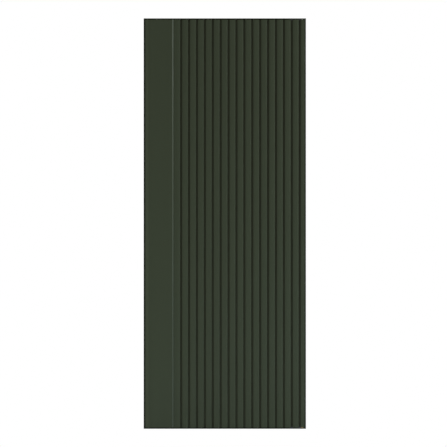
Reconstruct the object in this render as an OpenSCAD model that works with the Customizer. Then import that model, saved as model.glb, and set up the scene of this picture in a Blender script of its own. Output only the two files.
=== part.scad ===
// Fluted bathroom door: a painted leaf with a plain lock stile, hung on corner pivots
// in a slim aluminium frame. Millimetres, +Z up, front face towards -Y.
// Origin: middle of the footprint, on the floor.

/* [Frame] */
// Overall width of the frame
frame_w = 813; // [640:1:1100]
// Overall height of the frame
frame_h = 2057; // [1800:1:2400]
// Depth overall, front of the lock stile to back edge of the frame
frame_d = 90; // [84:1:140]
// How far the frame's front edge lies behind the front of the lock stile
frame_set = 5; // [0:0.5:6]
// Web of the frame bars; its front edge is all that shows round the leaf
frame_wall = 3; // [2.5:0.1:4]
// Wall of the stop box
stop_wall = 2; // [1.6:0.1:2.5]
// How far the stop laps the back of the leaf
stop_lap = 14; // [13:0.5:18]
// Depth of the stop box
stop_d = 18; // [16:0.5:22]
// Space between the back of the leaf and the stop, for the gasket
stop_gap = 5; // [4.6:0.1:6]
// Height of the bead along the back edge of the frame bars
bead_h = 6; // [4:0.5:10]
// Thickness of the bead along the back edge
bead_t = 3; // [2:0.5:4]

/* [Sill] */
// Thickness of the sill plate
sill_t = 3; // [2.5:0.1:4]
// Height of the sill's upstand above its plate
upstand_h = 12; // [11:0.5:16]
// Bevel along the upstand's two top edges
upstand_bevel = 3; // [1:0.5:3.5]
// Width of the screw boss inside the upstand
sill_boss_w = 7; // [6:0.5:9]

/* [Wall fixings] */
// Diameter of the wall fixing holes in the jambs
fixing_d = 6; // [5:0.5:8]
// Distance of the outermost fixing holes from the top and bottom of the frame
fixing_end = 158.5; // [120:0.5:250]
// Fixing holes in each jamb, evenly spaced
fixing_n = 4; // [4:2:8]
// Distance of the fixing holes from the frame's back edge
fixing_back = 13; // [11:0.5:14]

/* [Gaskets] */
// Mouth of the gasket slot in the stop
slot_mouth = 3; // [2.5:0.1:3.5]
// Width of the gasket slot behind its mouth
slot_w = 6; // [5:0.1:6.5]
// Depth of the gasket slot behind its mouth
slot_d = 2.5; // [2:0.1:3]
// Wall of the gasket slot
slot_wall = 1.5; // [1:0.1:2]
// Wall of the hollow gasket bulb
bulb_wall = 1.2; // [0.9:0.1:1.4]
// Clearance between gasket bulb and leaf at the lock side and head
gasket_clear = 0.3; // [0.3:0.1:1]
// Clearance left behind the leaf's heel as it swings back past the hinge side's gasket
heel_spare = 0.4; // [0.3:0.1:0.5]

/* [Leaf] */
// Running gap between the leaf and the frame, all round
leaf_gap = 3; // [2.7:0.1:5]
// Thickness of the leaf
leaf_t = 44; // [43:1:48]
// Thickness of the milled front panel
front_t = 18; // [16:1:19]
// Thickness of the back panel
back_t = 6; // [4:0.5:7]
// Thickness of the edge bands on the two long edges
band_t = 1.5; // [1:0.1:3]
// Bevel on the hinge band's front corner
band_bevel = 0.5; // [0.3:0.1:1]

/* [Milled face] */
// Width of the plain lock stile, leaf edge to the top of the step
stile_w = 137; // [100:0.5:180]
// Width of the bevelled step down from the stile to the fluted field
step_w = 6; // [2:0.5:8]
// Depth of the fluted field below the stile
field_drop = 5; // [3:0.5:6]
// Flat land between the step and the first groove
first_land = 33.5; // [25:0.5:60]
// Distance from groove to groove
groove_pitch = 39.6; // [34:0.1:60]
// Width of a groove
groove_w = 10.5; // [6:0.5:11]
// Depth of a groove below the fluted field
groove_d = 8.5; // [7:0.5:9.5]
// Bevel on the slat edges along the grooves
groove_arris = 0.4; // [0.2:0.1:1]
// Width of the gentle crown along both edges of a slat
crown_w = 10; // [4:0.5:12]
// Fall of that crown at the slat's edge
crown_drop = 1.2; // [0.3:0.1:1.5]
// Width of the soft rounding along the lock edge
ease_w = 32; // [14:1:44]
// Fall of the soft rounding at the lock edge
ease_drop = 8; // [3:0.5:12]

/* [Leaf core] */
// Width of the core stile at the lock side
lock_stile_w = 100; // [90:1:120]
// Width of the core stile at the hinge side
hinge_stile_w = 95; // [88:1:120]
// Height of the core's top rail
top_rail_h = 100; // [60:1:160]
// Height of the core's bottom rail
bottom_rail_h = 150; // [80:1:200]
// Diameter of the tubes through the core board
tube_d = 13; // [8:0.5:14]
// Distance from tube to tube
tube_pitch = 18; // [17:0.5:30]
// Least board left on either side of a tube
tube_wall = 2; // [1.5:0.5:4]

/* [Corner pivots] */
// Pivot axis, distance in from the leaf's hinge edge
pivot_inset = 12; // [11.5:0.1:13]
// Pivot axis, distance behind the fluted field
pivot_set = 8; // [7.8:0.1:8.3]
// Diameter of the pivot pins
pin_d = 8; // [7:0.1:8.4]
// Radial running clearance of pins in their bushes
pin_clear = 0.05; // [0.03:0.01:0.1]
// Room round the top pin in the frame's head
pin_room = 1; // [0.5:0.1:2]
// Outside diameter of the boss on each strap
boss_d = 13; // [12.5:0.1:13.4]
// Clearance of bosses, barrels and gasket feet in their seats
seat_clear = 0.2; // [0.1:0.05:0.3]
// Radial clearance of the sprung pin's collar and the catch plunger in their bores
slide_clear = 0.1; // [0.05:0.01:0.1]
// Length of the leaf's pivot straps and of the frame's pivot plates
strap_l = 70; // [60:1:80]
// Width of the leaf's pivot straps
strap_w = 26; // [24:0.5:28]
// Thickness of the leaf's pivot straps
strap_t = 3; // [2:0.1:4]
// Thickness of the frame's pivot plates and of the strike plate
plate_t = 1.5; // [1:0.1:1.6]
// Height of the bottom boss above its strap
bottom_boss_h = 12; // [10:0.5:20]
// Depth of the top boss below its strap
top_boss_h = 34; // [32:0.5:45]
// Outside diameter of the bottom bush
bush_d = 10; // [9.8:0.1:10.6]
// Outside diameter of the thrust washer
washer_d = 16; // [14:0.5:20]
// Diameter of the collar that stops the top pin
collar_d = 10; // [9.5:0.1:10.4]
// Height of the top pin's collar
collar_h = 3; // [2:0.5:4]
// Lip over the bores of the top boss and the catch barrel, which keeps pin and plunger in
lip_t = 1; // [0.8:0.1:1.5]
// Floor of the top boss and of the catch barrel, which carries the spring
cup_floor = 2; // [1.5:0.1:3]
// How far the bottom pin stays short of the top of its bush
pin_short = 1; // [0.5:0.1:2]
// Corner radius of straps, plates and the strike
plate_r = 5; // [3:0.5:6]

/* [Ball catch] */
// Distance of the catch in from the leaf's lock edge
catch_inset = 60; // [45:1:75]
// Outside diameter of the catch barrel
barrel_d = 14; // [13.5:0.1:15]
// Length of the catch barrel below its flange
barrel_h = 34; // [30:0.5:45]
// Diameter of the barrel's flange
flange_d = 18; // [17:0.1:18.6]
// Thickness of the barrel's flange
flange_t = 1.5; // [1:0.1:2.5]
// Diameter of the plunger's body
plunger_d = 10; // [9.6:0.1:10.4]
// Diameter of the plunger's round nose
nose_d = 8.6; // [8:0.1:9]
// How far the nose reaches into the strike plate
nose_in = 1.1; // [0.6:0.1:1.3]
// Room round the nose in the strike plate's hole
nose_room = 0.5; // [0.3:0.1:0.8]
// Length of the plunger's body
plunger_h = 8; // [6:0.5:10]
// Length of the strike plate
strike_l = 50; // [44:1:60]
// Width of the strike plate
strike_w = 18; // [16:0.5:20]

/* [Screws] */
// Shank diameter of the hardware screws
screw_d = 3.5; // [3:0.1:3.8]
// Head diameter of the hardware screws
screw_head_d = 6.4; // [6:0.1:6.8]
// Length of the strap screws
strap_screw_l = 30; // [20:1:40]
// Length of the screws that hold the frame's plates
plate_screw_l = 4.3; // [4.1:0.1:4.5]
// Length of the screws through the jambs into the sill
sill_screw_l = 45; // [40:1:60]
// Length of the screws that hold the stops to the webs
stop_screw_l = 8; // [6:0.5:9]
// Distance of the outermost stop screws from the ends of a bar
stop_screw_end = 100; // [90:1:140]
// Greatest distance from stop screw to stop screw
stop_screw_pitch = 480; // [300:10:600]
// Span of the cross recess in a screw head
recess_l = 3.6; // [3:0.1:4]
// Width of the cross recess's slots
recess_w = 0.9; // [0.7:0.1:1.2]
// Depth of the cross recess
recess_d = 1.2; // [0.8:0.1:1.3]
// Diameter of a pan head on the corner screws
pan_d = 8; // [7:0.1:9]
// Height of a pan head
pan_h = 2; // [1.5:0.1:2.5]
// Distance of the strap and plate screws from the straps' and plates' back edge
screw_edge = 6; // [5:0.5:7]
// Distance of the first strap screw from the strap's inner end
screw_first = 8; // [6:0.5:12]
// Distance between the two screws of a strap or pivot plate
screw_pitch = 26; // [18:1:30]
// Distance of the strike's screws from its ends
strike_screw_end = 7; // [6:0.5:9]

/* [Frame corners] */
// Length of each leg of the corner cleats
cleat_leg = 60; // [45:1:80]
// Distance of the corner screws from the end of the cleat's leg
cleat_screw_end = 12; // [8:1:16]
// Length of the corner screws' shanks
corner_screw_l = 8; // [6:0.5:11]

/* [Springs] */
// Wire diameter of both springs
wire_d = 1; // [0.8:0.1:1.2]
// Turns of each spring
spring_turns = 6; // [4:1:8]

/* [Hidden] */
$fn = 64;
paint = [0.212, 0.235, 0.188];
bar_coat = [0.178, 0.197, 0.158];
raw_wood = [0.72, 0.58, 0.40];
raw_board = [0.62, 0.52, 0.40];
dark_rubber = [0.07, 0.07, 0.07];
zinc = [0.70, 0.71, 0.72];
bronze = [0.66, 0.50, 0.28];
black_coat = [0.15, 0.15, 0.155];
eps = 0.01;
cut = 1;

// Frame section: u runs in from the outer face, v runs back from the front edge
stop_reach = frame_wall + leaf_gap + stop_lap;
stop_v = leaf_t + stop_gap;
stop_back = stop_v + stop_d;
stop_mid = stop_v + stop_d / 2;
chamber_u0 = frame_wall + stop_wall;
chamber_w = stop_reach - stop_wall - chamber_u0;
slot_u = frame_wall + leaf_gap + stop_lap / 2;
slot_block_u0 = slot_u - slot_w / 2 - slot_wall;
slot_block_d = slot_d + slot_wall;
front_y = -frame_d / 2;
cleat_screw_u = chamber_u0 + chamber_w / 2;
cleat_screw_w = cleat_leg - cleat_screw_end;
cleat_screw_spots = [[cleat_screw_u, -cleat_screw_w], [cleat_screw_w, -cleat_screw_u]];

// Leaf: X from its lock edge, Y back from the front plane, Z from its bottom edge
leaf_w = frame_w - 2 * (frame_wall + leaf_gap);
leaf_z0 = sill_t + leaf_gap;
leaf_top = frame_h - frame_wall - leaf_gap;
leaf_h = leaf_top - leaf_z0;
leaf_x0 = -leaf_w / 2;
core_t = leaf_t - front_t - back_t;
core_v = front_t + core_t / 2;
groove_first = stile_w + step_w + first_land + groove_w / 2;
last_land = pivot_inset + boss_d / 2 + seat_clear;
groove_n = 1 + floor((leaf_w - last_land - groove_w / 2 - groove_first) / groove_pitch);
core_x0 = lock_stile_w;
core_x1 = leaf_w - hinge_stile_w;
core_z1 = leaf_h - top_rail_h;

// Pivot axis and the hardware round it
pivot_x = leaf_w - pivot_inset;
pivot_v = field_drop + pivot_set;
strap_x0 = pivot_x + boss_d / 2 - strap_l;
strap_v0 = pivot_v - boss_d / 2;
washer_t = leaf_gap - plate_t;
bottom_pin_h = strap_t + bottom_boss_h - pin_short;
pin_rise = leaf_gap + frame_wall - seat_clear;
collar_top = leaf_h - strap_t - lip_t;
pin_foot = collar_top - collar_h;
top_boss_floor = leaf_h - strap_t - top_boss_h + cup_floor;
screw_xs = [strap_x0 + screw_first, strap_x0 + screw_first + screw_pitch];
screw_v = strap_v0 + strap_w - screw_edge;

// Catch
catch_x = catch_inset;
nose_out = leaf_gap - plate_t + nose_in;
nose_z = leaf_h + nose_out - nose_d / 2;
plunger_top = leaf_h - flange_t - lip_t;
plunger_foot = plunger_top - plunger_h;
barrel_floor = leaf_h - flange_t - barrel_h + cup_floor;
strike_hole_d = nose_d + 2 * nose_room;
strike_screw = strike_l / 2 - strike_screw_end;

// The heel swings back by this much, and as far in past the axis as the axis lies from the edge
heel_depth = leaf_t - pivot_v;
heel_swing = norm([pivot_inset, heel_depth]) - heel_depth;
head_gasket_l = frame_w - frame_wall - leaf_gap - 2 * pivot_inset - heel_spare;

fixing_pitch = (frame_h - 2 * fixing_end) / (fixing_n - 1);
fixing_zs = [for (i = [0:fixing_n - 1]) fixing_end + i * fixing_pitch];

// Shared placements and shapes

module in_leaf() {
    translate([leaf_x0, front_y, leaf_z0]) children();
}

// Cross recess in a screw head whose face is at the origin
module cross_recess() {
    for (turn = [0, 90])
        rotate([0, 0, turn]) translate([-recess_l / 2, -recess_w / 2, -recess_d])
            cube([recess_l, recess_w, recess_d + cut]);
}

// Countersunk screw, head at the origin, pointing along -Z
module csk_screw(length) {
    csk_h = (screw_head_d - screw_d) / 2;
    difference() {
        union() {
            translate([0, 0, -csk_h]) cylinder(d1 = screw_d, d2 = screw_head_d, h = csk_h);
            translate([0, 0, -length]) cylinder(d = screw_d, h = length - csk_h);
        }
        cross_recess();
    }
}

// Hole for that screw, open in front of its head
module csk_hole(depth) {
    csk_h = (screw_head_d - screw_d) / 2;
    cylinder(d = screw_head_d, h = cut);
    translate([0, 0, -csk_h]) cylinder(d1 = screw_d, d2 = screw_head_d, h = csk_h);
    translate([0, 0, -depth]) cylinder(d = screw_d, h = depth);
}

// Plate with rounded corners, its low corner at the origin
module rounded_plate(length, width, thickness) {
    inner_l = length - 2 * plate_r;
    inner_w = width - 2 * plate_r;
    linear_extrude(thickness) {
        translate([plate_r, 0]) square([inner_l, width]);
        translate([0, plate_r]) square([length, inner_w]);
        for (x = [plate_r, length - plate_r], y = [plate_r, width - plate_r])
            translate([x, y]) circle(r = plate_r);
    }
}

// Coil spring on the Z axis from z0 to z1, swept as one tube
module coil_spring(mean_d, z0, z1) {
    sides = 6;
    per_turn = 12;
    steps = per_turn * spring_turns;
    lift = z1 - z0 - wire_d;
    points = [
        for (i = [0:steps], j = [0:sides - 1])
            let (a = 360 * i / per_turn, b = 360 * j / sides, r = mean_d / 2 + wire_d / 2 * cos(b))
            [r * cos(a), r * sin(a), z0 + wire_d / 2 + lift * i / steps + wire_d / 2 * sin(b)]
    ];
    walls = [
        for (i = [0:steps - 1], j = [0:sides - 1])
            let (k = (j + 1) % sides)
            [i * sides + j, (i + 1) * sides + j, (i + 1) * sides + k, i * sides + k]
    ];
    first_end = [for (j = [0:sides - 1]) j];
    last_end = [for (j = [sides - 1:-1:0]) steps * sides + j];
    polyhedron(points, concat(walls, [first_end, last_end]));
}

// Frame bars

// Section of jambs and head: flat web with a bead along its back edge
module web_section() {
    translate([0, frame_set]) square([frame_wall, frame_d - frame_set]);
    translate([0, frame_d - bead_t]) square([bead_h, bead_t]);
}

// Section of the stops: a hollow box on the web, with the gasket's slot towards the leaf
module stop_section() {
    difference() {
        translate([frame_wall, stop_v]) square([stop_reach - frame_wall, stop_d]);
        difference() {
            translate([chamber_u0, stop_v + stop_wall])
                square([chamber_w, stop_d - 2 * stop_wall]);
            translate([slot_block_u0, stop_v])
                square([stop_reach - slot_block_u0, stop_wall + slot_block_d]);
        }
        translate([slot_u - slot_mouth / 2, stop_v - cut])
            square([slot_mouth, stop_wall + cut + eps]);
        translate([slot_u - slot_w / 2, stop_v + stop_wall]) square([slot_w, slot_d]);
    }
}

// What a 45 degree mitre takes off the far end of a bar of this length
module mitre_waste(length) {
    reach = stop_reach + cut;
    translate([0, frame_d + cut, 0]) rotate([90, 0, 0]) linear_extrude(frame_d + 2 * cut)
        polygon([[-cut, length + cut], [reach, length - reach], [reach, length + cut]]);
}

// Bar with its outer face on X = 0, mitred at the far end and, if asked, at the near end
module mitred_bar(length, both = false) {
    difference() {
        linear_extrude(length) children();
        mitre_waste(length);
        if (both)
            translate([0, 0, length]) mirror([0, 0, 1]) mitre_waste(length);
    }
}

module at_lock_side() {
    translate([-frame_w / 2, front_y, 0]) children();
}

module at_hinge_side() {
    translate([frame_w / 2, front_y, 0]) mirror([1, 0, 0]) children();
}

module at_head() {
    translate([-frame_w / 2, front_y, frame_h]) rotate([0, 90, 0]) children();
}

// Places along a bar of this length for the screws that hold its stop
function stop_screw_ws(length) =
    let (span = length - 2 * stop_screw_end, n = ceil(span / stop_screw_pitch))
    [for (i = [0:n]) stop_screw_end + span * i / n];

// Holes through a bar of this length, its web and its stop alike
module stop_screw_holes(length) {
    for (w = stop_screw_ws(length))
        translate([0, stop_mid, w]) rotate([0, -90, 0]) csk_hole(stop_screw_l);
}

module sill_screw_hole() {
    translate([0, stop_mid, sill_t + upstand_h / 2]) rotate([0, -90, 0])
        csk_hole(stop_reach + cut);
}

// Jamb standing on the sill plate, drilled for the wall fixings and for its screws
module jamb() {
    difference() {
        translate([0, 0, sill_t]) mitred_bar(frame_h - sill_t) web_section();
        for (z = fixing_zs)
            translate([-cut, frame_d - fixing_back, z]) rotate([0, 90, 0])
                cylinder(d = fixing_d, h = frame_wall + 2 * cut);
        stop_screw_holes(frame_h);
        sill_screw_hole();
    }
}

module jamb_stop() {
    difference() {
        translate([0, 0, sill_t]) mitred_bar(frame_h - sill_t) stop_section();
        stop_screw_holes(frame_h);
        sill_screw_hole();
        translate([0, 0, frame_h]) mirror([0, 0, 1]) cleat_screw_hole();
    }
}

module lock_jamb() color(bar_coat) at_lock_side() jamb();

module hinge_jamb() color(bar_coat) at_hinge_side() jamb();

module frame_head() color(bar_coat) difference() {
    at_head() difference() {
        mitred_bar(frame_w, both = true) web_section();
        stop_screw_holes(frame_w);
    }
    in_leaf() {
        translate([pivot_x, pivot_v, leaf_h])
            cylinder(d = pin_d + 2 * pin_room, h = leaf_gap + frame_wall + cut);
        translate([catch_x, core_v, leaf_h])
            cylinder(d = strike_hole_d, h = leaf_gap + frame_wall + cut);
        plate_screw_places() csk_hole(plate_screw_l + cut);
    }
}

module lock_stop() color(bar_coat) at_lock_side() jamb_stop();

module hinge_stop() color(bar_coat) at_hinge_side() jamb_stop();

module head_stop() color(bar_coat) at_head() difference() {
    mitred_bar(frame_w, both = true) stop_section();
    stop_screw_holes(frame_w);
    cleat_screw_hole();
    translate([0, 0, frame_w]) mirror([0, 0, 1]) cleat_screw_hole();
}

module stop_screw_row(length) {
    for (w = stop_screw_ws(length))
        translate([0, stop_mid, w]) rotate([0, -90, 0]) csk_screw(stop_screw_l);
}

module stop_screws() color(zinc) {
    at_lock_side() stop_screw_row(frame_h);
    at_hinge_side() stop_screw_row(frame_h);
    at_head() stop_screw_row(frame_w);
}

module sill() color(bar_coat) {
    upstand_z1 = sill_t + upstand_h;
    v0 = stop_v;
    v1 = stop_back;
    inner = stop_wall;
    difference() {
        union() {
            translate([-frame_w / 2, front_y + frame_set, 0])
                cube([frame_w, frame_d - frame_set, sill_t]);
            translate([-frame_w / 2 + stop_reach, front_y, 0]) rotate([90, 0, 90])
                linear_extrude(frame_w - 2 * stop_reach) difference() {
                    polygon([
                        [v0, sill_t - eps], [v0, upstand_z1 - upstand_bevel],
                        [v0 + upstand_bevel, upstand_z1], [v1 - upstand_bevel, upstand_z1],
                        [v1, upstand_z1 - upstand_bevel], [v1, sill_t - eps]
                    ]);
                    difference() {
                        translate([v0 + inner, sill_t])
                            square([stop_d - 2 * inner, upstand_h - inner - upstand_bevel / 2]);
                        translate([stop_mid - sill_boss_w / 2, sill_t])
                            square([sill_boss_w, upstand_h]);
                    }
                    translate([stop_mid, sill_t + upstand_h / 2]) circle(d = screw_d);
                }
        }
        in_leaf() bottom_plate_screw_places() csk_hole(plate_screw_l + cut);
    }
}

// Frame corners

// Local frame: the corner is at the origin, u runs in on X and down the bar on Z
module cleat_screw_hole() {
    translate([cleat_screw_u, stop_back + cut, cleat_screw_w]) rotate([90, 0, 0])
        cylinder(d = screw_d, h = stop_wall + 2 * cut);
}

module cleat() {
    v1 = stop_back - stop_wall;
    v0 = stop_v + stop_wall + slot_block_d + seat_clear;
    u0 = chamber_u0;
    u1 = chamber_u0 + chamber_w - seat_clear;
    difference() {
        translate([0, v1, 0]) rotate([90, 0, 0]) linear_extrude(v1 - v0)
            polygon([
                [u0, -u0], [cleat_leg, -u0], [cleat_leg, -u1],
                [u1, -u1], [u1, -cleat_leg], [u0, -cleat_leg]
            ]);
        for (p = cleat_screw_spots)
            translate([p[0], v1 + cut, p[1]]) rotate([90, 0, 0])
                cylinder(d = screw_d, h = v1 - v0 + 2 * cut);
    }
}

module at_corners() {
    translate([-frame_w / 2, front_y, frame_h]) children();
    translate([frame_w / 2, front_y, frame_h]) mirror([1, 0, 0]) children();
}

module corner_cleats() color(zinc) at_corners() cleat();

module corner_screws() color(zinc) at_corners() {
    for (p = cleat_screw_spots)
        translate([p[0], stop_back, p[1]]) rotate([90, 0, 0]) difference() {
            union() {
                translate([0, 0, -pan_h]) cylinder(d1 = pan_d - pan_h, d2 = pan_d, h = pan_h);
                cylinder(d = screw_d, h = corner_screw_l);
            }
            translate([0, 0, -pan_h]) mirror([0, 0, 1]) cross_recess();
        }
}

module sill_screws() color(zinc) {
    at_lock_side() sill_screw();
    at_hinge_side() sill_screw();
}

module sill_screw() {
    translate([0, stop_mid, sill_t + upstand_h / 2]) rotate([0, -90, 0])
        csk_screw(sill_screw_l);
}

// Gaskets

// Barbed foot in the slot and a hollow half-round bulb towards the leaf
module gasket_section(clear) {
    bulb_r = stop_gap - clear;
    translate([slot_u, stop_v]) {
        difference() {
            intersection() {
                circle(r = bulb_r);
                translate([-bulb_r, -bulb_r]) square([2 * bulb_r, bulb_r]);
            }
            intersection() {
                circle(r = bulb_r - bulb_wall);
                translate([-bulb_r, -bulb_r]) square([2 * bulb_r, bulb_r - bulb_wall / 2]);
            }
        }
        translate([-slot_mouth / 2 + seat_clear, -eps])
            square([slot_mouth - 2 * seat_clear, stop_wall + 2 * eps]);
        translate([-slot_w / 2 + seat_clear, stop_wall])
            square([slot_w - 2 * seat_clear, slot_d - seat_clear]);
    }
}

module jamb_gasket(clear) {
    translate([0, 0, sill_t]) mitred_bar(frame_h - sill_t) gasket_section(clear);
}

module lock_gasket() color(dark_rubber) at_lock_side() jamb_gasket(gasket_clear);

module hinge_gasket() color(dark_rubber) at_hinge_side() jamb_gasket(heel_swing + heel_spare);

// Stops short of the hinge side, where the heel sweeps past
module head_gasket() color(dark_rubber) at_head() difference() {
    linear_extrude(head_gasket_l) gasket_section(gasket_clear);
    translate([0, 0, frame_w]) mirror([0, 0, 1]) mitre_waste(frame_w);
}

// Pivot and strike plates on the frame

// Screw heads lie flush in the plates: two at the top pivot, two at the strike
module plate_screw_places() {
    for (x = screw_xs)
        translate([x, screw_v, leaf_h + leaf_gap - plate_t]) mirror([0, 0, 1]) children();
    for (side = [-1, 1])
        translate([catch_x + side * strike_screw, core_v, leaf_h + leaf_gap - plate_t])
            mirror([0, 0, 1]) children();
}

module bottom_plate_screw_places() {
    for (x = screw_xs) translate([x, screw_v, plate_t - leaf_gap]) children();
}

module top_pivot_plate() color(black_coat) in_leaf() difference() {
    translate([strap_x0, strap_v0, leaf_h + leaf_gap - plate_t])
        rounded_plate(strap_l, strap_w, plate_t);
    translate([pivot_x, pivot_v, leaf_h]) cylinder(d = pin_d + 2 * pin_clear, h = leaf_gap + cut);
    plate_screw_places() csk_hole(plate_screw_l);
}

module bottom_pivot_plate() color(black_coat) in_leaf() {
    difference() {
        translate([strap_x0, strap_v0, -leaf_gap]) rounded_plate(strap_l, strap_w, plate_t);
        bottom_plate_screw_places() csk_hole(plate_screw_l);
    }
    translate([pivot_x, pivot_v, -leaf_gap]) cylinder(d = pin_d, h = leaf_gap + bottom_pin_h);
}

module thrust_washer() color(bronze) in_leaf() translate([pivot_x, pivot_v, -washer_t])
    difference() {
        cylinder(d = washer_d, h = washer_t);
        translate([0, 0, -cut]) cylinder(d = pin_d + 2 * seat_clear, h = washer_t + 2 * cut);
    }

module strike_plate() color(black_coat) in_leaf() difference() {
    translate([catch_x - strike_l / 2, core_v - strike_w / 2, leaf_h + leaf_gap - plate_t])
        rounded_plate(strike_l, strike_w, plate_t);
    translate([catch_x, core_v, leaf_h]) cylinder(d = strike_hole_d, h = leaf_gap + cut);
    plate_screw_places() csk_hole(plate_screw_l);
}

module plate_screws() color(black_coat) in_leaf() {
    plate_screw_places() csk_screw(plate_screw_l);
    bottom_plate_screw_places() csk_screw(plate_screw_l);
}

// Leaf

// What a soft rounding of this width and fall takes off an edge at the origin, X running in
module ease_waste(width, fall) {
    r = (width * width + fall * fall) / (2 * fall);
    difference() {
        translate([-cut, -cut]) square([width + cut, fall + cut]);
        translate([width, r]) circle(r = r, $fn = 360);
    }
}

// One groove across the leaf's section, cut with a round-nosed tool between two crowned slats
module groove_section() {
    r = groove_w / 2;
    mouth = r + groove_arris;
    arris_v = crown_drop + groove_arris;
    polygon([
        [-mouth, -cut], [mouth, -cut], [mouth, crown_drop], [r, arris_v],
        [r, groove_d - r], [-r, groove_d - r], [-r, arris_v], [-mouth, crown_drop]
    ]);
    translate([0, groove_d - r]) circle(r = r);
    for (side = [0, 1])
        mirror([side, 0]) translate([mouth, 0]) ease_waste(crown_w, crown_drop);
}

module front_section() {
    difference() {
        polygon([
            [band_t, 0], [stile_w, 0], [stile_w + step_w, field_drop],
            [leaf_w - band_t, field_drop], [leaf_w - band_t, front_t], [band_t, front_t]
        ]);
        ease_waste(ease_w, ease_drop);
        for (i = [0:groove_n - 1])
            translate([groove_first + i * groove_pitch, field_drop]) groove_section();
    }
}

// Mortises in the leaf for the two pivot straps and their bosses
module strap_mortises() {
    boss_seat = boss_d + 2 * seat_clear;
    translate([strap_x0, strap_v0, -cut]) rounded_plate(strap_l, strap_w, strap_t + cut);
    translate([pivot_x, pivot_v, -cut])
        cylinder(d = boss_seat, h = strap_t + bottom_boss_h + cut + seat_clear);
    translate([strap_x0, strap_v0, leaf_h - strap_t])
        rounded_plate(strap_l, strap_w, strap_t + cut);
    translate([pivot_x, pivot_v, leaf_h - strap_t - top_boss_h - seat_clear])
        cylinder(d = boss_seat, h = top_boss_h + strap_t + cut + seat_clear);
}

// Strap screws: heads flush with the straps, shanks in the hinge stile
module bottom_strap_screw_places() {
    for (x = screw_xs) translate([x, screw_v, 0]) mirror([0, 0, 1]) children();
}

module top_strap_screw_places() {
    for (x = screw_xs) translate([x, screw_v, leaf_h]) children();
}

module front_panel() color(paint) in_leaf() difference() {
    linear_extrude(leaf_h) front_section();
    strap_mortises();
}

module back_panel() color(paint) in_leaf()
    translate([band_t, leaf_t - back_t, 0]) cube([leaf_w - 2 * band_t, back_t, leaf_h]);

module lock_stile() color(raw_wood) in_leaf() difference() {
    translate([band_t, front_t, 0]) cube([lock_stile_w - band_t, core_t, leaf_h]);
    translate([catch_x, core_v, leaf_h - flange_t - barrel_h])
        cylinder(d = barrel_d + 2 * seat_clear, h = barrel_h + flange_t + cut);
    translate([catch_x, core_v, leaf_h - flange_t])
        cylinder(d = flange_d + 2 * seat_clear, h = flange_t + cut);
}

module hinge_stile() color(raw_wood) in_leaf() difference() {
    translate([core_x1, front_t, 0]) cube([hinge_stile_w - band_t, core_t, leaf_h]);
    strap_mortises();
    bottom_strap_screw_places() cylinder_down(screw_d, strap_screw_l);
    top_strap_screw_places() cylinder_down(screw_d, strap_screw_l);
}

module cylinder_down(d, h) {
    translate([0, 0, -h]) cylinder(d = d, h = h);
}

module rail(z, h) {
    translate([core_x0, front_t, z]) cube([core_x1 - core_x0, core_t, h]);
}

module top_rail() color(raw_wood) in_leaf() rail(core_z1, top_rail_h);

module bottom_rail() color(raw_wood) in_leaf() rail(0, bottom_rail_h);

module tube_core() color(raw_board) in_leaf() {
    span = core_x1 - core_x0;
    tubes = floor((span - tube_pitch) / tube_pitch);
    margin = (span - (tubes - 1) * tube_pitch) / 2;
    translate([core_x0, front_t, bottom_rail_h]) linear_extrude(core_z1 - bottom_rail_h)
        difference() {
            square([span, core_t]);
            for (i = [0:tubes - 1])
                translate([margin + i * tube_pitch, core_t / 2])
                    circle(d = min(tube_d, core_t - 2 * tube_wall));
        }
}

module lock_edge_band() color(paint) in_leaf() linear_extrude(leaf_h) difference() {
    square([band_t, leaf_t]);
    ease_waste(ease_w, ease_drop);
}

module hinge_edge_band() color(paint) in_leaf() linear_extrude(leaf_h)
    polygon([
        [leaf_w - band_t, field_drop], [leaf_w - band_bevel, field_drop],
        [leaf_w, field_drop + band_bevel], [leaf_w, leaf_t], [leaf_w - band_t, leaf_t]
    ]);

// Pivot straps of the leaf

module bottom_pivot_strap() color(black_coat) in_leaf() difference() {
    union() {
        translate([strap_x0, strap_v0, 0]) rounded_plate(strap_l, strap_w, strap_t);
        translate([pivot_x, pivot_v, 0]) cylinder(d = boss_d, h = strap_t + bottom_boss_h);
    }
    translate([pivot_x, pivot_v, -cut]) cylinder(d = bush_d, h = strap_t + bottom_boss_h + 2 * cut);
    bottom_strap_screw_places() csk_hole(strap_t + cut);
}

module bottom_pivot_bush() color(bronze) in_leaf() translate([pivot_x, pivot_v, 0]) difference() {
    cylinder(d = bush_d, h = strap_t + bottom_boss_h);
    translate([0, 0, -cut])
        cylinder(d = pin_d + 2 * pin_clear, h = strap_t + bottom_boss_h + 2 * cut);
}

module top_pivot_strap() color(black_coat) in_leaf() difference() {
    union() {
        translate([strap_x0, strap_v0, leaf_h - strap_t]) rounded_plate(strap_l, strap_w, strap_t);
        translate([pivot_x, pivot_v, leaf_h - strap_t - top_boss_h])
            cylinder(d = boss_d, h = top_boss_h + strap_t);
    }
    translate([pivot_x, pivot_v, collar_top - eps])
        cylinder(d = pin_d + 2 * pin_clear, h = strap_t + lip_t + cut);
    translate([pivot_x, pivot_v, top_boss_floor])
        cylinder(d = collar_d + 2 * slide_clear, h = collar_top - top_boss_floor);
    top_strap_screw_places() csk_hole(strap_t + cut);
}

module strap_screws() color(black_coat) in_leaf() {
    bottom_strap_screw_places() csk_screw(strap_screw_l);
    top_strap_screw_places() csk_screw(strap_screw_l);
}

// Sprung top pin, held up by its collar under the strap
module top_pivot_pin() color(zinc) in_leaf() translate([pivot_x, pivot_v, 0]) {
    translate([0, 0, pin_foot]) cylinder(d = collar_d, h = collar_h - seat_clear);
    translate([0, 0, pin_foot]) cylinder(d = pin_d, h = leaf_h + pin_rise - pin_foot);
}

module top_pivot_spring() color(zinc) in_leaf() translate([pivot_x, pivot_v, 0])
    coil_spring(collar_d - 2 * wire_d, top_boss_floor, pin_foot);

// Ball catch in the leaf's top edge

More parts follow.
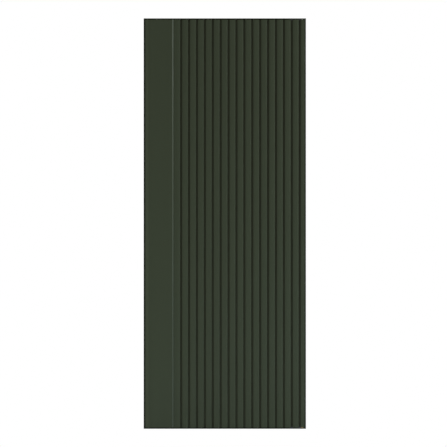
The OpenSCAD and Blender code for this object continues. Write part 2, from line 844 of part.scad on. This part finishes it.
module catch_barrel() color(bronze) in_leaf() translate([catch_x, core_v, 0]) difference() {
    union() {
        translate([0, 0, leaf_h - flange_t - barrel_h])
            cylinder(d = barrel_d, h = barrel_h + flange_t);
        translate([0, 0, leaf_h - flange_t]) cylinder(d = flange_d, h = flange_t);
    }
    translate([0, 0, barrel_floor])
        cylinder(d = plunger_d + 2 * slide_clear, h = plunger_top - barrel_floor);
    translate([0, 0, plunger_top - eps])
        cylinder(d = nose_d + 2 * seat_clear, h = flange_t + lip_t + cut);
}

module catch_plunger() color(zinc) in_leaf() translate([catch_x, core_v, 0]) {
    translate([0, 0, plunger_foot]) cylinder(d = plunger_d, h = plunger_h - seat_clear);
    translate([0, 0, plunger_foot]) cylinder(d = nose_d, h = nose_z - plunger_foot);
    translate([0, 0, nose_z]) sphere(d = nose_d);
}

module catch_spring() color(zinc) in_leaf() translate([catch_x, core_v, 0])
    coil_spring(plunger_d - 2 * wire_d, barrel_floor, plunger_foot);

lock_jamb();
hinge_jamb();
frame_head();
sill();
lock_stop();
hinge_stop();
head_stop();
stop_screws();
corner_cleats();
corner_screws();
sill_screws();
lock_gasket();
hinge_gasket();
head_gasket();
top_pivot_plate();
bottom_pivot_plate();
thrust_washer();
strike_plate();
plate_screws();
front_panel();
back_panel();
lock_stile();
hinge_stile();
top_rail();
bottom_rail();
tube_core();
lock_edge_band();
hinge_edge_band();
top_pivot_strap();
bottom_pivot_strap();
bottom_pivot_bush();
strap_screws();
top_pivot_spring();
catch_barrel();
catch_spring();
top_pivot_pin();
catch_plunger();
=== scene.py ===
import math

import bpy
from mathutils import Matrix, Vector


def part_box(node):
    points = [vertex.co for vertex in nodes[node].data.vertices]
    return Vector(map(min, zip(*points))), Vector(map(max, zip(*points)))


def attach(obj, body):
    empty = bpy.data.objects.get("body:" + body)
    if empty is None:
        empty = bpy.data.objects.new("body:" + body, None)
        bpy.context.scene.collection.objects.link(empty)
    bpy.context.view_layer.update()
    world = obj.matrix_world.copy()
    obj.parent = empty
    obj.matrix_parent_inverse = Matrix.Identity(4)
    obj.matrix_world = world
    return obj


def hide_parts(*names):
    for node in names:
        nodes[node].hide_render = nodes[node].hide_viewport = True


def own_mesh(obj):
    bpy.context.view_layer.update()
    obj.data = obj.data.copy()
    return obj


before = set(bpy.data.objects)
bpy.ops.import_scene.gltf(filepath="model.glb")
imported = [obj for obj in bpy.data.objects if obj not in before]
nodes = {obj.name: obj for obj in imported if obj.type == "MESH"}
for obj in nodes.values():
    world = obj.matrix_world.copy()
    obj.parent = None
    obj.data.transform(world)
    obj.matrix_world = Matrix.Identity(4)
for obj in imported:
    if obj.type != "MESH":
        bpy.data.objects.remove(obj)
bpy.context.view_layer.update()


# Jambs and head: flat aluminium bars, 3 mm thick, with a bead along the back edge.
# Extruded, cut to a mitre at the top corners and powder-coated in the door's olive, which leaves
# a fine, even orange-peel skin that is as dull as the leaf's paint.

class Finish:
    """A surface built from nodes, in the piece's own coordinates and in metres."""

    # A Mix node has sockets for each kind of value; these are its share and its colours.
    SHARE, FIRST_COLOUR, SECOND_COLOUR, MIXED_COLOUR = 0, 6, 7, 2

    def __init__(self, name):
        self.material = bpy.data.materials.new(name)
        self.material.use_nodes = True
        tree = self.material.node_tree
        self.nodes, self.links = tree.nodes, tree.links
        self.shader = self.nodes["Principled BSDF"]
        self.place = self.nodes.new("ShaderNodeTexCoord").outputs["Object"]

    def stretched(self, cell, start=(0.0, 0.0, 0.0)):
        """The piece's coordinates from a point, in cells of one size, or of one each for X, Y and Z."""
        sizes = (cell,) * 3 if isinstance(cell, float) else cell
        mapping = self.nodes.new("ShaderNodeMapping")
        mapping.inputs["Scale"].default_value = [1 / size for size in sizes]
        mapping.inputs["Location"].default_value = [-place / size for place, size in zip(start, sizes)]
        self.links.new(self.place, mapping.inputs["Vector"])
        return mapping.outputs["Vector"]

    def cloud(self, cell, detail=2.0, harshness=0.5):
        """Soft noise from 0 to 1 in cells of this size."""
        noise = self.nodes.new("ShaderNodeTexNoise")
        noise.inputs["Scale"].default_value = 1.0
        noise.inputs["Detail"].default_value = detail
        noise.inputs["Roughness"].default_value = harshness
        self.links.new(self.stretched(cell), noise.inputs["Vector"])
        return noise.outputs["Fac"]

    def spread(self, value, low=0.0, high=1.0, start=0.3, end=0.7):
        """That value, drawn out from low to high between start and end."""
        drawn = self.nodes.new("ShaderNodeMapRange")
        for name, number in (("From Min", start), ("From Max", end), ("To Min", low), ("To Max", high)):
            drawn.inputs[name].default_value = number
        self.links.new(value, drawn.inputs["Value"])
        return drawn.outputs["Result"]

    def blend(self, share, first, second):
        """A colour between two others, each a colour or another node's output."""
        mix = self.nodes.new("ShaderNodeMix")
        mix.data_type = "RGBA"
        self.links.new(share, mix.inputs[self.SHARE])
        for place, colour in ((self.FIRST_COLOUR, first), (self.SECOND_COLOUR, second)):
            if isinstance(colour, tuple):
                mix.inputs[place].default_value = (*colour, 1.0)
            else:
                self.links.new(colour, mix.inputs[place])
        return mix.outputs[self.MIXED_COLOUR]

    def raised(self, height, rise):
        """A bumped normal: a height from 0 to 1 that stands this many metres proud."""
        bump = self.nodes.new("ShaderNodeBump")
        bump.inputs["Strength"].default_value = 1.0
        bump.inputs["Distance"].default_value = rise
        self.links.new(height, bump.inputs["Height"])
        return bump.outputs["Normal"]

    def show(self, colour, roughness, normal, **fixed):
        """Puts colour, roughness and normal on the shader, and numbers that are the same all over."""
        self.links.new(colour, self.shader.inputs["Base Color"])
        self.links.new(roughness, self.shader.inputs["Roughness"])
        self.links.new(normal, self.shader.inputs["Normal"])
        for name, number in fixed.items():
            self.shader.inputs[name.replace("_", " ")].default_value = number

    def on(self, *names):
        """Finishes these solids."""
        for name in names:
            nodes[name].material_slots[0].material = self.material


def tint(colour, share):
    """That colour, lighter or darker by a share."""
    return tuple(share * part for part in colour)


OLIVE_COAT = (0.0205, 0.0263, 0.0140)
COAT_DRIFT_CELL = (0.12, 0.12, 0.30)
COAT_ROUGHNESS = (0.56, 0.68)
PEEL_CELL = 0.0016
PEEL_RISE = 0.00006

coat = Finish("olive_powder_coat")
coat_drift = coat.spread(coat.cloud(COAT_DRIFT_CELL))
coat_peel = coat.cloud(PEEL_CELL, detail=1.0)
coat.show(
    coat.blend(coat_drift, tint(OLIVE_COAT, 0.95), tint(OLIVE_COAT, 1.05)),
    coat.spread(coat_peel, *COAT_ROUGHNESS),
    coat.raised(coat_peel, PEEL_RISE),
    Specular_IOR_Level=0.06,
)
coat.on("lock_jamb", "hinge_jamb", "frame_head")


# Stops: hollow aluminium boxes of the same coat that close the frame behind the leaf and carry the
# gaskets. Countersunk screws of zinc-plated steel hold them from outside, through the webs.

ZINC = (0.56, 0.57, 0.58)
ZINC_YELLOWED = (0.60, 0.59, 0.55)
ZINC_BLOOM_CELL = 0.006
ZINC_LINE_CELL = (0.004, 0.0003, 0.004)
ZINC_LINE_RISE = 0.00001
ZINC_ROUGHNESS = (0.26, 0.42)

zinc = Finish("zinc_plated_steel")
zinc_bloom = zinc.spread(zinc.cloud(ZINC_BLOOM_CELL, detail=3.0))
zinc_lines = zinc.cloud(ZINC_LINE_CELL, detail=3.0)
zinc.show(
    zinc.blend(zinc_bloom, tint(ZINC, 0.86), ZINC_YELLOWED),
    zinc.spread(zinc_lines, *ZINC_ROUGHNESS),
    zinc.raised(zinc_lines, ZINC_LINE_RISE),
    Metallic=1.0,
)
coat.on("lock_stop", "hinge_stop", "head_stop")
zinc.on("stop_screws")


# Sill: an aluminium plate across the foot of the frame, with a hollow upstand that the leaf closes
# against. Coated like the bars; a long screw through each jamb bites into the boss in the upstand.

coat.on("sill")
zinc.on("sill_screws")


# Corner cleats: sawn lengths of mill-finish aluminium angle, pushed into the stops' hollows across
# each top mitre. Pan-head screws through the backs of the stops hold them.

MILL_ALUMINIUM = (0.60, 0.60, 0.61)
MILL_BLOOM_CELL = 0.02
MILL_LINE_CELL = (0.0004, 0.03, 0.0004)
MILL_LINE_RISE = 0.00002
MILL_ROUGHNESS = (0.32, 0.50)

mill = Finish("mill_finish_aluminium")
mill_lines = mill.cloud(MILL_LINE_CELL, detail=3.0)
mill_bloom = mill.spread(mill.cloud(MILL_BLOOM_CELL))
mill.show(
    mill.blend(mill_bloom, tint(MILL_ALUMINIUM, 0.9), MILL_ALUMINIUM),
    mill.spread(mill_lines, *MILL_ROUGHNESS),
    mill.raised(mill_lines, MILL_LINE_RISE),
    Metallic=1.0,
)
mill.on("corner_cleats")
zinc.on("corner_screws")


# Gaskets: hollow black rubber bulbs, extruded in one length per side, their barbed feet pressed into
# the slots of the stops. The rubber is dull, with a faint bloom and fine lines along its length.

RUBBER = (0.012, 0.012, 0.0125)
RUBBER_BLOOM_CELL = 0.03
RUBBER_ROUGHNESS = (0.62, 0.80)
DIE_LINE_LENGTH = 0.03
DIE_LINE_WIDTH = 0.0006
DIE_LINE_RISE = 0.00005
ALONG_X, ALONG_Z = 0, 2


def long_cell(along, length, width):
    """A cell of this length along one axis and of this width along the other two."""
    return tuple(length if axis == along else width for axis in range(3))


def black_rubber(name, along):
    """Dull rubber with the lines that the die leaves along this axis."""
    rubber = Finish(name)
    bloom = rubber.spread(rubber.cloud(RUBBER_BLOOM_CELL, detail=4.0))
    lines = rubber.cloud(long_cell(along, DIE_LINE_LENGTH, DIE_LINE_WIDTH))
    rubber.show(
        rubber.blend(bloom, tint(RUBBER, 0.8), tint(RUBBER, 1.5)),
        rubber.spread(lines, *RUBBER_ROUGHNESS),
        rubber.raised(lines, DIE_LINE_RISE),
        Specular_IOR_Level=0.35,
    )
    return rubber


black_rubber("black_rubber_upright", ALONG_Z).on("lock_gasket", "hinge_gasket")
black_rubber("black_rubber_level", ALONG_X).on("head_gasket")


# Pivot plates and strike: stamped steel, blacked and lacquered so that they vanish in the gap round
# the leaf, screwed flush to head and sill. The bottom plate carries the fixed pin, and the leaf's
# weight turns on a sintered bronze washer around it.

BLACK_STEEL = (0.020, 0.020, 0.021)
BLACK_BLOOM_CELL = 0.008
BLACK_LINE_CELL = (0.006, 0.0004, 0.006)
BLACK_LINE_RISE = 0.00001
BLACK_ROUGHNESS = (0.34, 0.48)

blacked = Finish("blacked_steel")
blacked_bloom = blacked.spread(blacked.cloud(BLACK_BLOOM_CELL, detail=3.0))
blacked_lines = blacked.cloud(BLACK_LINE_CELL, detail=3.0)
blacked.show(
    blacked.blend(blacked_bloom, tint(BLACK_STEEL, 0.75), tint(BLACK_STEEL, 1.3)),
    blacked.spread(blacked_lines, *BLACK_ROUGHNESS),
    blacked.raised(blacked_lines, BLACK_LINE_RISE),
    Specular_IOR_Level=0.4,
)

BRONZE = (0.42, 0.26, 0.10)
BRONZE_STAIN_CELL = 0.005
BRONZE_PORE_CELL = 0.0005
BRONZE_PORE_RISE = 0.00003
BRONZE_ROUGHNESS = (0.30, 0.50)

bronze = Finish("sintered_bronze")
bronze_pores = bronze.cloud(BRONZE_PORE_CELL, harshness=0.7)
bronze_stain = bronze.spread(bronze.cloud(BRONZE_STAIN_CELL, detail=3.0))
bronze.show(
    bronze.blend(bronze_stain, tint(BRONZE, 0.72), tint(BRONZE, 1.12)),
    bronze.spread(bronze_pores, *BRONZE_ROUGHNESS),
    bronze.raised(bronze_pores, BRONZE_PORE_RISE),
    Metallic=1.0,
)
blacked.on("top_pivot_plate", "bottom_pivot_plate", "strike_plate", "plate_screws")
bronze.on("thrust_washer")


# Leaf core: softwood stiles and rails glued up round a board of extruded chipboard with tubes
# through it. The wood is planed pine, sawn beside the pith, so that its rings are arcs on the ends
# and long lines on the faces.

PINE_EARLY = (0.56, 0.37, 0.18)
PINE_LATE = (0.36, 0.19, 0.075)
PINE_ROUGHNESS = (0.55, 0.75)
RING_GAP = 0.0034
RING_LENGTH = 40.0
LATE_WOOD = (0.25, 0.95)
PITH_ASIDE = (0.016, 0.048, 0.016)
FIBRE_LENGTH = 0.05
FIBRE_WIDTH = 0.0007
FIBRE_RISE = 0.00008
# The Wave texture's rings lie this far apart at a scale of 1.
WAVE_GAP = math.pi / 10


def pine(name, along):
    """Planed pine for one bar, its rings round a pith that runs along this axis beside the bar."""
    wood = Finish("pine_" + name)
    pith = [(low + high) / 2 + aside for low, high, aside in zip(*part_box(name), PITH_ASIDE)]
    rings = wood.nodes.new("ShaderNodeTexWave")
    rings.wave_type = "RINGS"
    rings.rings_direction = "XYZ"[along]
    rings.wave_profile = "SAW"
    rings.inputs["Scale"].default_value = WAVE_GAP / RING_GAP
    rings.inputs["Distortion"].default_value = 2.2
    rings.inputs["Detail"].default_value = 2.0
    rings.inputs["Detail Scale"].default_value = 0.6
    wood.links.new(wood.stretched(long_cell(along, RING_LENGTH, 1.0), pith), rings.inputs["Vector"])
    late = wood.spread(rings.outputs["Fac"], 0.0, 1.0, *LATE_WOOD)
    fibres = wood.cloud(long_cell(along, FIBRE_LENGTH, FIBRE_WIDTH), detail=3.0)
    ringed = wood.blend(late, PINE_EARLY, PINE_LATE)
    wood.show(
        wood.blend(wood.spread(fibres, high=0.35), ringed, tint(PINE_LATE, 0.7)),
        wood.spread(fibres, *PINE_ROUGHNESS),
        wood.raised(fibres, FIBRE_RISE),
        Specular_IOR_Level=0.3,
    )
    wood.on(name)


CHIP_DARK = (0.22, 0.13, 0.06)
CHIP_PALE = (0.52, 0.38, 0.21)
CHIP_CELL = (0.004, 0.004, 0.0012)
CHIP_RISE = 0.00015
CHIP_DUST_CELL = 0.0008
CHIP_ROUGHNESS = (0.70, 0.90)

chipboard = Finish("extruded_chipboard")
flakes = chipboard.nodes.new("ShaderNodeTexVoronoi")
flakes.inputs["Scale"].default_value = 1.0
chipboard.links.new(chipboard.stretched(CHIP_CELL), flakes.inputs["Vector"])
flake_shade = chipboard.nodes.new("ShaderNodeSeparateColor")
chipboard.links.new(flakes.outputs["Color"], flake_shade.inputs["Color"])
chip_dust = chipboard.cloud(CHIP_DUST_CELL, detail=3.0)
chipboard.show(
    chipboard.blend(flake_shade.outputs["Red"], CHIP_DARK, CHIP_PALE),
    chipboard.spread(chip_dust, *CHIP_ROUGHNESS),
    chipboard.raised(flake_shade.outputs["Green"], CHIP_RISE),
    Specular_IOR_Level=0.25,
)

for stile in ("lock_stile", "hinge_stile"):
    pine(stile, ALONG_Z)
for rail in ("top_rail", "bottom_rail"):
    pine(rail, ALONG_X)
chipboard.on("tube_core")


# Leaf faces: fibreboard, the front one milled with a stepped stile and round-bottomed grooves, the
# back one plain, with a band glued along each long edge. Primed, sanded and sprayed in a matt olive
# with a very fine stipple and faint passes of the gun. Down in the grooves the olive is painted darker,
# as shade in the recesses.

OLIVE = (0.0295, 0.0365, 0.0195)
# Painted shade: a darker olive for the bottoms of the grooves, where shade falls.
OLIVE_GROOVE_SHADE = (0.0271, 0.0299, 0.0158)
OLIVE_ROUGHNESS = (0.50, 0.60)
PASS_CELL = (0.05, 0.05, 1.6)
STIPPLE_CELL = 0.0012
STIPPLE_RISE = 0.00004
HAZE_CELL = (0.22, 0.22, 0.35)
GROOVE_WALL = 0.0075
GROOVE_BOTTOM = 0.0135


def olive_paint(name, shade_between=None):
    """Matt olive as sprayed, with painted shade: darker olive between two depths along Y, where they
    are given.
    """
    paint = Finish(name)
    passes = paint.spread(paint.cloud(PASS_CELL))
    stipple = paint.cloud(STIPPLE_CELL)
    haze = paint.cloud(HAZE_CELL, detail=3.0)
    passed = paint.blend(passes, tint(OLIVE, 0.965), tint(OLIVE, 1.035))
    colour = paint.blend(paint.spread(haze, high=0.6), passed, tint(OLIVE, 1.04))
    # Painted shade: between the two depths the colour turns to the darker olive of the groove bottoms.
    if shade_between:
        depth = paint.nodes.new("ShaderNodeSeparateXYZ")
        paint.links.new(paint.place, depth.inputs["Vector"])
        groove_shade = paint.spread(depth.outputs["Y"], 0.0, 1.0, *shade_between)
        colour = paint.blend(groove_shade, colour, OLIVE_GROOVE_SHADE)
    paint.show(
        colour,
        paint.spread(haze, *OLIVE_ROUGHNESS),
        paint.raised(stipple, STIPPLE_RISE),
        Specular_IOR_Level=0.12,
    )
    return paint


front_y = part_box("front_panel")[0][1]
# The front panel gets painted shade down in its grooves, between these depths.
olive_flutes = olive_paint("matt_olive_flutes", (front_y + GROOVE_WALL, front_y + GROOVE_BOTTOM))
olive = olive_paint("matt_olive_paint")
olive_flutes.on("front_panel")
olive.on("back_panel", "lock_edge_band", "hinge_edge_band")


# Pivot straps: blacked steel let into the leaf's top and bottom edges, with a turned boss and two
# wood screws each. A sintered bush runs on the bottom pin; the top pin is sprung, so that it can be
# drawn down to hang the leaf. Its spring is wound from drawn wire, with a closed turn at each end.

WIRE_D = 0.001
WIRE_SIDES = 10
OPEN_TURNS = 6
CLOSED_TURNS = 2
STEPS_A_TURN = 24
UP = Vector((0.0, 0.0, 1.0))


def wire_spring(node):
    """A coil of wire in the place of a plain one, carried with the leaf."""
    low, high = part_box(node)
    foot = ((low[0] + high[0]) / 2, (low[1] + high[1]) / 2, low[2])
    coil_r = (high[0] - low[0] - WIRE_D) / 2
    length = high[2] - low[2]
    open_rise = (length - (CLOSED_TURNS + 1) * WIRE_D) / OPEN_TURNS
    points = []
    for step in range((OPEN_TURNS + CLOSED_TURNS) * STEPS_A_TURN + 1):
        turn = step / STEPS_A_TURN
        opened = min(max(turn - CLOSED_TURNS / 2, 0.0), OPEN_TURNS)
        rise = WIRE_D / 2 + WIRE_D * (turn - opened) + open_rise * opened
        across = Vector((math.cos(math.tau * turn), math.sin(math.tau * turn), 0.0))
        middle = Vector(foot) + rise * UP + coil_r * across
        for side in range(WIRE_SIDES):
            angle = math.tau * side / WIRE_SIDES
            points.append(middle + WIRE_D / 2 * (math.cos(angle) * across + math.sin(angle) * UP))
    last = len(points) - WIRE_SIDES
    faces = [tuple(range(WIRE_SIDES)), tuple(reversed(range(last, last + WIRE_SIDES)))]
    for ring in range(0, last, WIRE_SIDES):
        after = ring + WIRE_SIDES
        for side in range(WIRE_SIDES):
            beside = (side + 1) % WIRE_SIDES
            faces.append((ring + side, after + side, after + beside, ring + beside))
    mesh = bpy.data.meshes.new(node + "_wire")
    mesh.from_pydata(points, [], faces)
    mesh.shade_smooth()
    mesh.materials.append(zinc.material)
    coil = bpy.data.objects.new(node + "_wire", mesh)
    bpy.context.scene.collection.objects.link(coil)
    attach(coil, "leaf")
    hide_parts(node)
    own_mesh(coil)


blacked.on("top_pivot_strap", "bottom_pivot_strap", "strap_screws")
zinc.on("top_pivot_pin", "top_pivot_spring")
bronze.on("bottom_pivot_bush")
wire_spring("top_pivot_spring")


# Catch: a bronze barrel pressed into the top edge near the lock side, with a sprung, round-nosed
# steel plunger that snaps into the strike and keeps the leaf shut.

bronze.on("catch_barrel")
zinc.on("catch_plunger", "catch_spring")
wire_spring("catch_spring")


# Floor: a plain pale sheet under the frame, which takes the shadow. Away from the object it fades into
# the white of the background, for the rays that see it and not for those that light the object.

FLOOR_DARKER = (0.79, 0.79, 0.78)
FLOOR_PALER = (0.82, 0.82, 0.81)
FLOOR_ROUGHNESS = (0.80, 0.90)
FLOOR_CELL = 0.8
FLOOR_RISE = 0.0002
FLOOR_SIZE = 24.0
FLOOR_DROP = 0.0005
FLOOR_NEAR = 0.6
FLOOR_FAR = 3.0
FLOOR_GLOW = 0.45


def seen_rays(tree):
    """1 for the rays by which camera, metal and glass see a surface, 0 for those that carry light."""
    path = tree.nodes.new("ShaderNodeLightPath")
    seen = path.outputs["Is Camera Ray"]
    for kind in ("Is Glossy Ray", "Is Transmission Ray"):
        either = tree.nodes.new("ShaderNodeMath")
        either.operation = "MAXIMUM"
        tree.links.new(seen, either.inputs[0])
        tree.links.new(path.outputs[kind], either.inputs[1])
        seen = either.outputs[0]
    return seen


bpy.ops.mesh.primitive_plane_add(size=FLOOR_SIZE, location=(0.0, 0.0, -FLOOR_DROP))
floor = bpy.context.object
floor.name = "pale_floor"
sheet = Finish("pale_floor")
sheet_drift = sheet.cloud(FLOOR_CELL)
sheet.show(
    sheet.blend(sheet_drift, FLOOR_DARKER, FLOOR_PALER),
    sheet.spread(sheet_drift, *FLOOR_ROUGHNESS),
    sheet.raised(sheet_drift, FLOOR_RISE),
    Specular_IOR_Level=0.1,
)
from_middle = sheet.nodes.new("ShaderNodeVectorMath")
from_middle.operation = "LENGTH"
sheet.links.new(sheet.place, from_middle.inputs[0])
whiter = sheet.spread(from_middle.outputs["Value"], FLOOR_GLOW, 1.0, FLOOR_NEAR, FLOOR_FAR)
share = sheet.nodes.new("ShaderNodeMath")
share.operation = "MULTIPLY"
sheet.links.new(whiter, share.inputs[0])
sheet.links.new(seen_rays(sheet.material.node_tree), share.inputs[1])
white = sheet.nodes.new("ShaderNodeEmission")
fade = sheet.nodes.new("ShaderNodeMixShader")
sheet.links.new(share.outputs["Value"], fade.inputs["Fac"])
sheet.links.new(sheet.shader.outputs["BSDF"], fade.inputs[1])
sheet.links.new(white.outputs["Emission"], fade.inputs[2])
sheet.links.new(fade.outputs["Shader"], sheet.nodes["Material Output"].inputs["Surface"])
floor.data.materials.append(sheet.material)


# Studio: cool soft boxes at both sides that graze the front, the right upper one strongest, two colder
# ones low down for the foot, one for the back, and a white surround that lights the door evenly.

COOL_DAYLIGHT = (0.88, 0.94, 1.0)
COLD_SKY = (0.54, 0.75, 1.0)
SURROUND = 0.58


def soft_box(name, place, target, size, power, colour=COOL_DAYLIGHT):
    """A rectangular lamp, its width and height in metres and its power in watts, that faces a point."""
    lamp = bpy.data.lights.new(name, "AREA")
    lamp.shape = "RECTANGLE"
    lamp.size, lamp.size_y = size
    lamp.energy = power
    lamp.color = colour
    holder = bpy.data.objects.new(name, lamp)
    holder.location = place
    holder.rotation_euler = (Vector(target) - Vector(place)).to_track_quat("-Z", "Y").to_euler()
    holder.visible_camera = False
    bpy.context.scene.collection.objects.link(holder)


soft_box("right_high_box", (2.7, -0.40, 2.3), (0.0, 0.0, 1.5), (0.6, 1.2), 95.0)
soft_box("right_low_box", (2.2, -0.5, 0.25), (0.0, 0.0, 0.2), (0.6, 0.5), 19.5, COLD_SKY)
soft_box("left_box", (-2.6, -0.75, 1.1), (0.0, 0.0, 1.0), (0.7, 1.8), 22.0)
soft_box("left_edge_box", (-2.4, -0.25, 1.0), (0.0, 0.0, 0.9), (0.5, 1.8), 21.0)
soft_box("low_box", (0.1, -1.3, 0.15), (0.0, 0.0, 0.3), (1.8, 0.2), 2.7, COLD_SKY)
soft_box("back_box", (-1.2, 3.6, 2.2), (0.0, 0.0, 1.0), (2.0, 2.0), 90.0)

world = bpy.data.worlds.new("white_surround")
bpy.context.scene.world = world
world.use_nodes = True
air = world.node_tree
shine = air.nodes.new("ShaderNodeMapRange")
shine.inputs["To Min"].default_value = SURROUND
shine.inputs["To Max"].default_value = 1.0
air.links.new(seen_rays(air), shine.inputs["Value"])
air.links.new(shine.outputs["Result"], air.nodes["Background"].inputs["Strength"])
air.nodes["Background"].inputs["Color"].default_value = (1.0, 1.0, 1.0, 1.0)
bpy.context.scene.view_settings.view_transform = "Standard"


# Camera: straight on and level, at half the frame's height and without perspective, so that the door
# fills the picture's height but for a narrow margin.

EYE_PLACE = (-0.0065, -6.0, 1.0289)
VIEW_WIDTH = 2.2404
VIEW_DEPTH = 60.0

eye = bpy.data.cameras.new("front_view")
eye.type = "ORTHO"
eye.ortho_scale = VIEW_WIDTH
eye.clip_end = VIEW_DEPTH
stand = bpy.data.objects.new("front_view", eye)
stand.location = EYE_PLACE
stand.rotation_euler = (math.radians(90.0), 0.0, 0.0)
bpy.context.scene.collection.objects.link(stand)
bpy.context.scene.camera = stand
